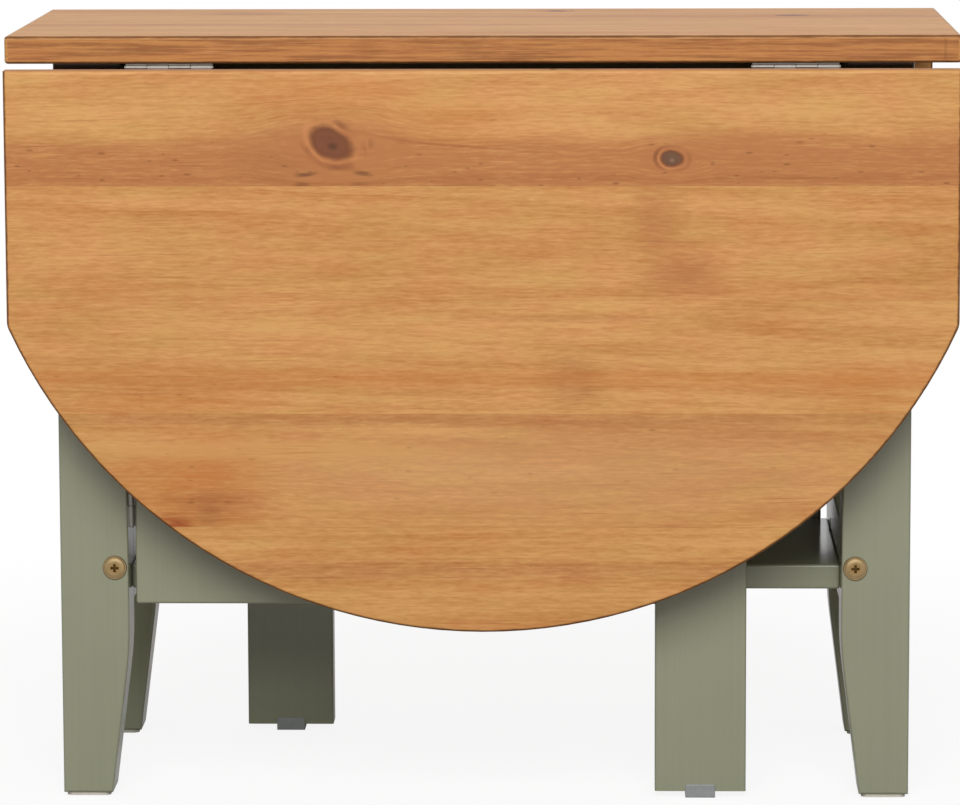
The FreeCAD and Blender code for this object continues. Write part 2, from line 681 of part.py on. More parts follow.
for side, turned in SIDES.items():
    save(side + "_leaf", turned(leaf))
    save(side + "_leaf_stop", turned(stop))
    for hand, x in LEAF_HINGES.items():
        hinge = side + "_leaf_" + hand + "_hinge_"
        save(hinge + "top_plate", turned(placed(hinge_plate(), leaf_hinge_on_top(x))))
        save(hinge + "leaf_plate", turned(lowered(placed(hinge_plate(), leaf_hinge_on_leaf(x)))))
    save(side + "_leaf_hinge_pins", turned(joined(leaf_pins)))
    save(side + "_leaf_hinge_screws", turned(joined(leaf_hinge_screws)))
    save(side + "_gate_stile", turned(gate_stile()))
    save(side + "_gate_lower_rail", turned(gate_rail(GATE_BOTTOM)))
    save(side + "_gate_upper_rail", turned(gate_rail(GATE_TOP - GATE_RAIL_HEIGHT)))
    save(side + "_gate_leg", turned(gate_leg()))
    save(side + "_gate_glide", turned(gate_glide()))
    save(side + "_gate_dowels", turned(joined(gate_dowels)))
    for level, z in GATE_HINGES.items():
        hinge = side + "_gate_" + level + "_hinge_"
        save(hinge + "leg_plate", turned(placed(hinge_plate(), gate_hinge_on_leg(z))))
        save(hinge + "gate_plate", turned(placed(hinge_plate(), gate_hinge_on_gate(z))))
    save(side + "_gate_hinge_pins", turned(joined(gate_pins)))
    save(side + "_gate_hinge_screws", turned(joined(gate_hinge_screws)))

save("top_hinge_screws", joined(top_hinge_screws + [half_turn(screw) for screw in top_hinge_screws]))
save("leg_hinge_screws", joined(leg_hinge_screws + [half_turn(screw) for screw in leg_hinge_screws]))
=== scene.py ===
import json
import math
from collections import namedtuple

import bpy
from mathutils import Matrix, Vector


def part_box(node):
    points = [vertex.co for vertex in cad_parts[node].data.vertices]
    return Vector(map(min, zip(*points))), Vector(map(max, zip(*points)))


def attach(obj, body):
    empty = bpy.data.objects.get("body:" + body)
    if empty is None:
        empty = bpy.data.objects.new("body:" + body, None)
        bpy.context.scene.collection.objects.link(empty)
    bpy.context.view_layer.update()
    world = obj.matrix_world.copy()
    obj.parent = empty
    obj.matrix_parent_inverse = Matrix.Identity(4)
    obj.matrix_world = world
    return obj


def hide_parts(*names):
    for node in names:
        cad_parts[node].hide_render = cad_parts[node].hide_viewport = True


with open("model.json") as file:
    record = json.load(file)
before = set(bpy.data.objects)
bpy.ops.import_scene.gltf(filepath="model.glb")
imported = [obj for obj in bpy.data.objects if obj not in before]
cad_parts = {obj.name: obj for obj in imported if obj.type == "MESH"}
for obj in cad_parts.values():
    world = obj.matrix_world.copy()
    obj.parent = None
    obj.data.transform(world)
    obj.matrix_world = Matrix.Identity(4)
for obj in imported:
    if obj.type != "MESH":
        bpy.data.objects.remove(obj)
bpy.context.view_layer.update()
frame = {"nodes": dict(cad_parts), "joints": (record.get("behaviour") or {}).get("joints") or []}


# Legs: four sawn softwood legs, straight outside and drawn in to a narrow foot on the inside.
# They are sanded and sprayed with a satin sage paint, and bolts hold them to the side rails.
MILLIMETRE = 0.001


def colour(red, green, blue):
    """A screen colour from 0 to 255 as the linear values that shaders take."""
    linear = [(part / 255 / 12.92) if part <= 10 else ((part / 255 + 0.055) / 1.055) ** 2.4
              for part in (red, green, blue)]
    return (*linear, 1.0)


def add_node(tree, kind, inputs=None, **settings):
    """One node with its settings. An input given as a socket or a pattern is linked, a value is set."""
    made = tree.nodes.new(kind)
    for name, value in settings.items():
        setattr(made, name, value)
    for key, value in (inputs or {}).items():
        value = getattr(value, "socket", value)
        if isinstance(value, bpy.types.NodeSocket):
            tree.links.new(value, made.inputs[key])
        else:
            made.inputs[key].default_value = value
    return made


class Pattern:
    """A number that varies over a surface. A formula written with it becomes Math nodes."""

    def __init__(self, socket):
        self.socket = socket
        self.tree = socket.id_data

    def calc(self, operation, *values):
        """The result of a Math node on this number and others."""
        inputs = dict(enumerate((self, *values)))
        return Pattern(add_node(self.tree, "ShaderNodeMath", inputs, operation=operation).outputs[0])

    def __add__(self, other):
        return self.calc("ADD", other)

    def __sub__(self, other):
        return self.calc("SUBTRACT", other)

    def __rsub__(self, other):
        return -self + other

    def __neg__(self):
        return self * -1

    def __mul__(self, other):
        return self.calc("MULTIPLY", other)

    def __truediv__(self, other):
        return self.calc("DIVIDE", other)

    def size(self):
        """The number without its sign."""
        return self.calc("ABSOLUTE")

    def below(self, other):
        """The smaller of two numbers."""
        return self.calc("MINIMUM", other)

    def above(self, other):
        """The larger of two numbers."""
        return self.calc("MAXIMUM", other)

    def rise(self, low, high):
        """0 up to low, 1 from high on, and a smooth step between. With low over high it falls."""
        inputs = {"Value": self, "From Min": low, "From Max": high}
        step = add_node(self.tree, "ShaderNodeMapRange", inputs, interpolation_type="SMOOTHSTEP")
        return Pattern(step.outputs[0])


def new_material(name):
    """An empty node material: the material, its node tree and its shader."""
    material = bpy.data.materials.new(name)
    material.use_nodes = True
    tree = material.node_tree
    return material, tree, tree.nodes["Principled BSDF"]


def place_in(tree):
    """The place on the piece along X, Y and Z, in millimetres."""
    spot = add_node(tree, "ShaderNodeTexCoord").outputs["Object"]
    split = add_node(tree, "ShaderNodeSeparateXYZ", {0: spot})
    return {axis: Pattern(split.outputs[axis]) * (1 / MILLIMETRE) for axis in "XYZ"}


def noise(x, y, z, detail=2.0, roughness=0.5):
    """Soft noise about 0, from -0.5 to 0.5, over three patterns."""
    vector = add_node(x.tree, "ShaderNodeCombineXYZ", {0: x, 1: y, 2: z}).outputs[0]
    inputs = {"Vector": vector, "Scale": 1.0, "Detail": detail, "Roughness": roughness}
    return Pattern(add_node(x.tree, "ShaderNodeTexNoise", inputs).outputs["Fac"]) - 0.5


def speckle(place, size, detail=2.0):
    """Soft noise of one size in millimetres in all three directions."""
    return noise(*[place[axis] / size for axis in "XYZ"], detail=detail)


# Places of the sockets that a Mix node has for colours.
MIX_FACTOR, MIX_FIRST, MIX_SECOND, MIX_RESULT = 0, 6, 7, 2


def blend(factor, first, second):
    """A colour between two, by a pattern that is cut off at 0 and 1."""
    inputs = {MIX_FACTOR: factor, MIX_FIRST: first, MIX_SECOND: second}
    mix = add_node(factor.tree, "ShaderNodeMix", inputs, data_type="RGBA", clamp_factor=True)
    return mix.outputs[MIX_RESULT]


def link_finish(shader, base, roughness, height=None, depth=0.0):
    """Link a colour, a roughness and, where there is one, a fine relief of some depth in metres."""
    links = shader.id_data.links
    links.new(base, shader.inputs["Base Color"])
    links.new(roughness.socket, shader.inputs["Roughness"])
    if height is not None:
        inputs = {"Height": height, "Strength": 1.0, "Distance": depth}
        relief = add_node(shader.id_data, "ShaderNodeBump", inputs)
        links.new(relief.outputs["Normal"], shader.inputs["Normal"])


PAINT_DARK = colour(137, 139, 115)
PAINT_LIGHT = colour(151, 152, 128)
PAINT_FIBRE_LENGTH = 160.0
PAINT_FIBRE_WIDTH = 2.4
PAINT_CLOUD_SIZE = 70.0
PAINT_SPRAY_SIZE = 0.8
PAINT_RELIEF = 0.018 * MILLIMETRE
PAINT_ROUGHNESS = 0.14


def sage_paint(name, along, darkened=None):
    """Satin paint over softwood whose fibres run along one axis and show faintly through it."""
    material, tree, shader = new_material(name)
    place = place_in(tree)
    steps = [place[axis] / (PAINT_FIBRE_LENGTH if axis == along else PAINT_FIBRE_WIDTH) for axis in "XYZ"]
    fibres = noise(*steps, detail=3.0)
    clouds = speckle(place, PAINT_CLOUD_SIZE)
    spray = speckle(place, PAINT_SPRAY_SIZE, detail=1.0)
    paint = blend(clouds * 0.7 + fibres * 0.5 + spray * 0.3 + 0.5, PAINT_DARK, PAINT_LIGHT)
    if darkened:
        paint = darkened(place, paint)
    roughness = clouds * 0.06 + spray * 0.05 + PAINT_ROUGHNESS
    link_finish(shader, paint, roughness, fibres * 0.7 + spray * 0.3, PAINT_RELIEF)
    return material


def dress(material, *names):
    """Give CAD nodes a finish."""
    for name in names:
        slots = frame["nodes"][name].data.materials
        slots.clear()
        slots.append(material)


# A band of painted shade on the legs just below the top, where the leaves leave a dark slot.
SLOT_PAINTED_SHADE = colour(30, 22, 14)
SLOT_SHADE_STRENGTH = 0.9
SLOT_SHADE_END, SLOT_SHADE_FULL = 8.0, 4.5
FACE_END, FACE_FULL = 1.0, 0.3


def painted_slot_shade(place, paint):
    """Painted shade on the outer faces of the legs just below the top, for the deep shadow behind the
    leaves.
    """
    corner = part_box("rear_right_leg")[1] / MILLIMETRE
    on_face = (corner.y - place["Y"].size()).rise(FACE_END, FACE_FULL)
    near_top = (corner.z - place["Z"]).rise(SLOT_SHADE_END, SLOT_SHADE_FULL)
    return blend(on_face * near_top * SLOT_SHADE_STRENGTH, paint, SLOT_PAINTED_SHADE)


LEGS = ("front_left_leg", "front_right_leg", "rear_left_leg", "rear_right_leg")
# The legs' paint carries a band of painted shade just below the top.
dress(sage_paint("sage_paint_legs", "Z", painted_slot_shade), *LEGS)


# Foot pads: pale nylon pads with rounded corners, moulded, a little yellowed and scuffed.
# They are nailed under the legs, so that the paint doesn't touch the floor.
NYLON_DARK = colour(196, 190, 176)
NYLON_PALE = colour(222, 218, 206)
NYLON_ROUGHNESS = 0.5
SCUFF_SIZE = 3.0


def pad_nylon():
    """Yellowed nylon with soft scuffs."""
    material, tree, shader = new_material("pad_nylon")
    scuffs = speckle(place_in(tree), SCUFF_SIZE, detail=4.0)
    link_finish(shader, blend(scuffs + 0.5, NYLON_DARK, NYLON_PALE), scuffs * 0.3 + NYLON_ROUGHNESS)
    return material


dress(pad_nylon(), "leg_pads")


# Side rails and stretchers: softwood boards, planed and painted like the legs.
# The rails run from front to back between two legs, the stretchers from end to end between the rails.
RAILS = ("left_lower_rail", "right_lower_rail", "left_upper_rail", "right_upper_rail")
dress(sage_paint("sage_paint_rails", "Y"), *RAILS)
lengthwise_paint = sage_paint("sage_paint_lengthwise", "X")
dress(lengthwise_paint, "lower_stretcher", "upper_stretcher")


# Dowels: pins of bare beech with chamfered ends, cut from turned rod.
# They are glued into the ends of the side rails, and the same pins hold the joints of the gates.
BEECH_DARK = colour(188, 150, 108)
BEECH_PALE = colour(216, 184, 143)
BEECH_ROUGHNESS = 0.65
BEECH_FLECK_LENGTH = 6.0
BEECH_FLECK_WIDTH = 1.2


def beech():
    """Bare beech with short flecks along Y."""
    material, tree, shader = new_material("beech")
    place = place_in(tree)
    beside = place["X"] / BEECH_FLECK_WIDTH
    along = place["Y"] / BEECH_FLECK_LENGTH
    flecks = noise(beside, along, place["Z"] / BEECH_FLECK_WIDTH, detail=3.0)
    tree.links.new(blend(flecks + 0.5, BEECH_DARK, BEECH_PALE), shader.inputs["Base Color"])
    shader.inputs["Roughness"].default_value = BEECH_ROUGHNESS
    return material


dress(beech(), "rail_dowels", "front_gate_dowels", "rear_gate_dowels")


# Connector bolts: yellow zinc plated steel bolts with a wide flange and a cross recess, cold headed.
# Each goes through a leg and pulls the end of a side rail against it.
RUB_SIZE = 0.35
METAL_RELIEF = 0.02 * MILLIMETRE
METAL_ROUGHNESS = 0.46


def plated_metal(name, dull, bright, smudge_size, tinted_and_shaded=None):
    """Plated steel with soft smudges and fine rub marks, and with tinges and painted shade where a function
    adds them.
    """
    material, tree, shader = new_material(name)
    place = place_in(tree)
    smudges = speckle(place, smudge_size, detail=3.0)
    rubs = speckle(place, RUB_SIZE, detail=1.0)
    metal = blend(smudges * 1.4 + rubs * 0.4 + 0.5, dull, bright)
    if tinted_and_shaded:
        metal = tinted_and_shaded(place, metal)
    roughness = smudges * 0.25 + rubs * 0.15 + METAL_ROUGHNESS
    link_finish(shader, metal, roughness, rubs, METAL_RELIEF)
    shader.inputs["Metallic"].default_value = 1.0
    return material


def new_tree(name, sizes):
    """A node tree for fasteners on points: named inputs for its sizes and its metal."""
    tree = bpy.data.node_groups.new(name, "GeometryNodeTree")
    tree.interface.new_socket("Seats", in_out="INPUT", socket_type="NodeSocketGeometry")
    for size in sizes:
        tree.interface.new_socket(size, in_out="INPUT", socket_type="NodeSocketFloat")
    tree.interface.new_socket("Metal", in_out="INPUT", socket_type="NodeSocketMaterial")
    tree.interface.new_socket("Fasteners", in_out="OUTPUT", socket_type="NodeSocketGeometry")
    return tree, tree.nodes.new("NodeGroupInput").outputs


def moved(tree, mesh, height):
    """A mesh moved along its own axis by a value or a pattern."""
    lift = add_node(tree, "ShaderNodeCombineXYZ", {"Z": height}).outputs[0]
    return add_node(tree, "GeometryNodeTransform", {"Geometry": mesh, "Translation": lift}).outputs[0]


def round_part(tree, low, high, bottom_radius, top_radius, sides):
    """A round solid from one height to another, straight or tapered."""
    inputs = {"Vertices": sides, "Radius Bottom": bottom_radius, "Radius Top": top_radius}
    inputs["Depth"] = high - low
    return moved(tree, add_node(tree, "GeometryNodeMeshCone", inputs).outputs["Mesh"], low)


def combined(tree, operation, first, *others):
    """Solids joined to the first one or cut from it."""
    made = add_node(tree, "GeometryNodeMeshBoolean", operation=operation, solver="EXACT")
    meshes = (first, *others)
    if operation == "DIFFERENCE":
        tree.links.new(first, made.inputs["Mesh 1"])
        meshes = others
    for mesh in reversed(meshes):
        tree.links.new(mesh, made.inputs["Mesh 2"])
    return made.outputs["Mesh"]


def cross_recess(tree, top, length, width, depth):
    """Cutter for a cross recess below the given height."""
    arms = []
    for along, across in ((length, width), (width, length)):
        block = add_node(tree, "ShaderNodeCombineXYZ", {"X": along, "Y": across, "Z": depth * 2})
        arm = add_node(tree, "GeometryNodeMeshCube", {"Size": block.outputs[0]})
        arms.append(moved(tree, arm.outputs["Mesh"], top))
    return combined(tree, "UNION", *arms)


def set_on_seats(tree, given, fastener):
    """One fastener on each seat, turned to the seat's axis, as plain mesh in the given metal."""
    seat_axis = add_node(tree, "GeometryNodeInputNamedAttribute", {"Name": "axis"}, data_type="FLOAT_VECTOR")
    inputs = {"Vector": seat_axis.outputs[0]}
    turn = add_node(tree, "FunctionNodeAlignRotationToVector", inputs, axis="Z").outputs[0]
    inputs = {"Points": given["Seats"], "Instance": fastener, "Rotation": turn}
    copies = add_node(tree, "GeometryNodeInstanceOnPoints", inputs).outputs[0]
    real = add_node(tree, "GeometryNodeRealizeInstances", {"Geometry": copies}).outputs[0]
    inputs = {"Geometry": real, "Material": given["Metal"]}
    finished = add_node(tree, "GeometryNodeSetMaterial", inputs).outputs[0]
    add_node(tree, "NodeGroupOutput", {"Fasteners": finished})


def fasten(name, tree, sizes, metal, seats, body, slot, *nodes):
    """Make a tree's fasteners on seats, as one mesh that rides on a body and stands for CAD nodes.

    A seat is a place and the axis that points out of the wood there.
    """
    points = bpy.data.meshes.new(name + "_seats")
    points.from_pydata([place for place, axis in seats], [], [])
    axes = points.attributes.new("axis", "FLOAT_VECTOR", "POINT")
    axes.data.foreach_set("vector", [part for place, axis in seats for part in axis])
    maker = bpy.data.objects.new(name + "_seats", points)
    bpy.context.scene.collection.objects.link(maker)
    modifier = maker.modifiers.new("fasteners", "NODES")
    modifier.node_group = tree
    wanted = {**sizes, "Metal": metal}
    for item in tree.interface.items_tree:
        if item.name in wanted:
            modifier[item.identifier] = wanted[item.name]
    evaluated = maker.evaluated_get(bpy.context.evaluated_depsgraph_get())
    mesh = bpy.data.meshes.new_from_object(evaluated)
    maker.modifiers.remove(modifier)
    bpy.data.objects.remove(maker)
    piece = bpy.data.objects.new(name, mesh)
    bpy.context.scene.collection.objects.link(piece)
    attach(piece, body)
    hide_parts(*nodes)


BOLT_SIZES = {
    "Shank Radius": 0.003, "Shank Length": 0.061,
    "Flange Radius": 0.0071, "Flange Thickness": 0.001,
    "Head Radius": 0.0062, "Head Height": 0.0009,
    "Recess Length": 0.0048, "Recess Width": 0.0016, "Recess Depth": 0.002,
}
BOLT_SIDES = 40
# Heights are shares of the flange or the head, and narrow radii are shares of the wide ones.
SHANK_TOP, FLANGE_WALL, HEAD_BOTTOM = 0.5, 0.6, 0.8
HEAD_WALL = 0.6
CHAMFER_SHARE, CROWN_SHARE = 0.94, 0.66


def bolt_tree():
    """Tree of a connector bolt: a shank, a chamfered flange and a low crowned head with its recess."""
    tree, given = new_tree("connector_bolt", BOLT_SIZES)
    size = {name: Pattern(given[name]) for name in BOLT_SIZES}
    shank, rim, head = size["Shank Radius"], size["Flange Radius"], size["Head Radius"]
    flange = size["Flange Thickness"]
    crown = flange + size["Head Height"]
    shoulder = flange + size["Head Height"] * HEAD_WALL
    parts = [
        round_part(tree, -size["Shank Length"], flange * SHANK_TOP, shank, shank, BOLT_SIDES),
        round_part(tree, 0.0, flange * FLANGE_WALL, rim, rim, BOLT_SIDES),
        round_part(tree, flange * FLANGE_WALL, flange, rim, rim * CHAMFER_SHARE, BOLT_SIDES),
        round_part(tree, flange * HEAD_BOTTOM, shoulder, head, head * CHAMFER_SHARE, BOLT_SIDES),
        round_part(tree, shoulder, crown, head * CHAMFER_SHARE, head * CROWN_SHARE, BOLT_SIDES),
    ]
    body = combined(tree, "UNION", *parts)
    recess = cross_recess(tree, crown, size["Recess Length"], size["Recess Width"], size["Recess Depth"])
    set_on_seats(tree, given, combined(tree, "DIFFERENCE", body, recess))
    return tree


leg_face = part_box("rear_left_leg")[1].y


def middle(name):
    """The middle of a CAD node's box, in metres."""
    low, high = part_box(name)
    return (low + high) / 2


def bolt_seats():
    """Two bolts on the outer face of each leg, in line with the middle of the side rails."""
    seats = []
    for rail in RAILS:
        for side in (-1, 1):
            seat = Vector((middle(rail).x, side * leg_face, middle(rail).z))
            seats.append((seat, Vector((0, side, 0))))
    return seats


# A brown tinge round the recess, painted shade inside it, and a painted contact shadow under the rim.
RECESS_TINGE = colour(140, 104, 50)
RECESS_PAINTED_SHADE = colour(66, 46, 18)
RIM_PAINTED_SHADOW = colour(84, 66, 36)
TINGE_STRENGTH = 0.5
RECESS_STRENGTH = 0.85
RIM_STRENGTH = 0.6
TINGE_END, TINGE_FULL = 4.2, 2.2
RECESS_END, RECESS_FULL = 3.4, 3.0
RECESS_START, RECESS_DEEP = 0.15, 0.6
RIM_END, RIM_FULL = 0.5, 0.1


def bolt_tinge_and_painted_shade(place, zinc):
    """Yellow zinc with a brown tinge round the cross recess, painted shade inside the recess and a painted
    contact shadow under the rim.
    """
    lower, upper = (middle(rail) / MILLIMETRE for rail in ("right_lower_rail", "right_upper_rail"))
    beside = place["X"].size() - lower.x
    above = (place["Z"] - lower.z).size().below((place["Z"] - upper.z).size())
    from_axis = (beside * beside + above * above).calc("SQRT")
    crown = (leg_face + BOLT_SIZES["Flange Thickness"] + BOLT_SIZES["Head Height"]) / MILLIMETRE
    inside = (crown - place["Y"].size()).rise(RECESS_START, RECESS_DEEP)
    inside = inside * from_axis.rise(RECESS_END, RECESS_FULL)
    from_rim = BOLT_SIZES["Flange Radius"] / MILLIMETRE - from_axis
    zinc = blend(from_axis.rise(TINGE_END, TINGE_FULL) * TINGE_STRENGTH, zinc, RECESS_TINGE)
    # Painted shade in the cross recess, then a painted contact shadow under the rim.
    zinc = blend(inside * RECESS_STRENGTH, zinc, RECESS_PAINTED_SHADE)
    return blend(from_rim.rise(RIM_END, RIM_FULL) * RIM_STRENGTH, zinc, RIM_PAINTED_SHADOW)


ZINC_DULL = colour(134, 112, 78)
ZINC_BRIGHT = colour(154, 134, 100)
ZINC_SMUDGE_SIZE = 5.0
yellow_zinc = plated_metal("yellow_zinc", ZINC_DULL, ZINC_BRIGHT, ZINC_SMUDGE_SIZE, bolt_tinge_and_painted_shade)
fasten("connector_bolts", bolt_tree(), BOLT_SIZES, yellow_zinc, bolt_seats(), "base", "yellow_zinc",
       "rail_bolts")


# Barrel nuts: short cylinders of bright plated steel, turned, with a threaded hole through the side.
# They lie across the ends of the side rails and take the connector bolts.
STEEL_DULL = colour(98, 95, 90)
STEEL_BRIGHT = colour(130, 126, 120)
STEEL_SMUDGE_SIZE = 9.0
bright_steel = plated_metal("bright_steel", STEEL_DULL, STEEL_BRIGHT, STEEL_SMUDGE_SIZE)
dress(bright_steel, "barrel_nuts")


# Frame screws: countersunk steel screws with a cross recess, bright plated.
# They go through the side rails into the stretchers, and up through the upper stretcher into the top.
SCREW_PARTS = (
    "Head Radius", "Head Height", "Shank Radius", "Length",
    "Recess Length", "Recess Width", "Recess Depth",
)
SCREW_SIDES = 28
# The tip's length and its blunt end are shares of the shank's radius.
TIP_LENGTH, TIP_END = 2, 0.25


def screw_tree():
    """Tree of a countersunk screw: a tapered head with its recess, a shank and a pointed tip."""
    tree, given = new_tree("countersunk_screw", SCREW_PARTS)
    size = {name: Pattern(given[name]) for name in SCREW_PARTS}
    shank = size["Shank Radius"]
    head_end = -size["Head Height"]
    tip_end = head_end - size["Length"]
    tip_start = tip_end + shank * TIP_LENGTH
    parts = [
        round_part(tree, head_end, 0.0, shank, size["Head Radius"], SCREW_SIDES),
        round_part(tree, tip_start, head_end, shank, shank, SCREW_SIDES),
        round_part(tree, tip_end, tip_start, shank * TIP_END, shank, SCREW_SIDES),
    ]
    body = combined(tree, "UNION", *parts)
    recess = cross_recess(tree, 0.0, size["Recess Length"], size["Recess Width"], size["Recess Depth"])
    set_on_seats(tree, given, combined(tree, "DIFFERENCE", body, recess))
    return tree


RECESS_LENGTH_SHARE, RECESS_WIDTH_SHARE, RECESS_DEPTH_SHARE = 1.2, 0.3, 0.7


def screw_sizes(head_radius, head_height, shank_radius, length):
    """Sizes of a screw in metres. Its recess follows from its head."""
    recess = (head_radius * RECESS_LENGTH_SHARE, head_radius * RECESS_WIDTH_SHARE,
              head_height * RECESS_DEPTH_SHARE)
    return dict(zip(SCREW_PARTS, (head_radius, head_height, shank_radius, length, *recess)))


screws = screw_tree()
STRETCHER_SCREW = screw_sizes(0.004, 0.002, 0.002, 0.042)
TOP_SCREW = screw_sizes(0.004, 0.002, 0.002, 0.0225)
SCREW_EDGE_INSET = 0.012
TOP_SCREW_END_INSET = 0.06
rail_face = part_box("right_lower_rail")[1].x
stretcher_low, stretcher_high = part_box("upper_stretcher")
screw_y = stretcher_high.y - SCREW_EDGE_INSET
top_screw_x = stretcher_high.x - TOP_SCREW_END_INSET
stretcher_seats = []
top_seats = []
for end in (-1, 1):
    for side in (-1, 1):
        for board in ("lower_stretcher", "upper_stretcher"):
            seat = Vector((end * rail_face, side * screw_y, middle(board).z))
            stretcher_seats.append((seat, Vector((end, 0, 0))))
        seat = Vector((end * top_screw_x, side * screw_y, stretcher_low.z))
        top_seats.append((seat, Vector((0, 0, -1))))
fasten("frame_screws", screws, STRETCHER_SCREW, bright_steel, stretcher_seats, "base", "hinge_steel",
       "stretcher_screws")
fasten("table_top_screws", screws, TOP_SCREW, bright_steel, top_seats, "base", "hinge_steel",
       "top_screws")


# Top: edge glued pine staves, planed, rounded over and finished with a honey stain and wax.
# The stain gathers along the arrises. The top is screwed to the upper stretcher from below.
# Lengths are in millimetres, turns in degrees, softness and strength from 0 to 1.
Knot = namedtuple("Knot", "x across half_length half_width turn heart eye")
Patch = namedtuple("Patch", "x across half_length half_width softness strength shade turn", defaults=(0.0,))


def white_noise(seed):
    """Three steady random numbers from 0 to 1 for a pattern of whole numbers."""
    draw = add_node(seed.tree, "ShaderNodeTexWhiteNoise", {"W": seed}, noise_dimensions="1D")
    split = add_node(seed.tree, "ShaderNodeSeparateColor", {0: draw.outputs["Color"]})
    return [Pattern(split.outputs[part]) for part in ("Red", "Green", "Blue")]


def around_knot(across, along, knot):
    """The place across the grain, with the fibres pressed aside round a knot."""
    offset = across - knot.across
    reach = (along - knot.x).size().rise(knot.half_length * 4.5, knot.half_length * 0.4)
    near = offset.size().rise(knot.half_width * 4.0, knot.half_width)
    push = reach * near * knot.half_width
    pressed = ((offset * offset + push * push).calc("SQRT") - push) * offset.calc("SIGN")
    return pressed + knot.across


def ellipse(along, across, half_length, half_width, turn=0.0):
    """0 in the middle of an ellipse and 1 on its rim, with its length turned by some degrees."""
    cosine, sine = math.cos(math.radians(turn)), math.sin(math.radians(turn))
    length_part = (along * cosine + across * sine) / half_length
    width_part = (across * cosine - along * sine) / half_width
    return (length_part * length_part + width_part * width_part).calc("SQRT")


PALE_WOOD = (colour(214, 162, 97), colour(218, 158, 99))
DEEP_WOOD = (colour(183, 126, 62), colour(185, 116, 60))
EDGE_PALE = colour(198, 138, 76)
EDGE_DARK = colour(134, 86, 44)
FINE_LINE = colour(146, 88, 44)
RESIN_DASH = colour(112, 62, 32)
KNOT_HALO = colour(180, 112, 66)
KNOT_RING = colour(206, 136, 84)
KNOT_ARC = colour(134, 76, 42)
KNOT_RIM = colour(110, 58, 28)
KNOT_CRACK = colour(92, 52, 34)
GLUE_LINE = colour(132, 80, 42)
ARRIS_STAIN = colour(94, 54, 26)
STAVE_DRAW_STEP = 7.3
RIPPLE_LENGTH, RIPPLE_WIDTH = 8.0, 1.3
DASH_LENGTH, DASH_WIDTH = 7.0, 2.2
PITH_SIDE_SPREAD = 50.0
PITH_DEPTH = 25.0
PITH_DEPTH_SPREAD = 60.0
TREE_TAPER = 0.05
RING_WIDTH = 5.2
EDGE_START, EDGE_FULL = 1.6, 0.4
GLUE_START, GLUE_FULL, GLUE_STRENGTH = 0.492, 0.499, 0.14
STAIN_LINE, STAIN_STRENGTH = 1.2, 0.86
SMEAR_LENGTH, SMEAR_WIDTH, SMEAR_DEPTH = 14.0, 5.0, 3.0
WOOD_RELIEF = 0.06 * MILLIMETRE
WOOD_ROUGHNESS = 0.5
WOOD_SHINE = 0.28


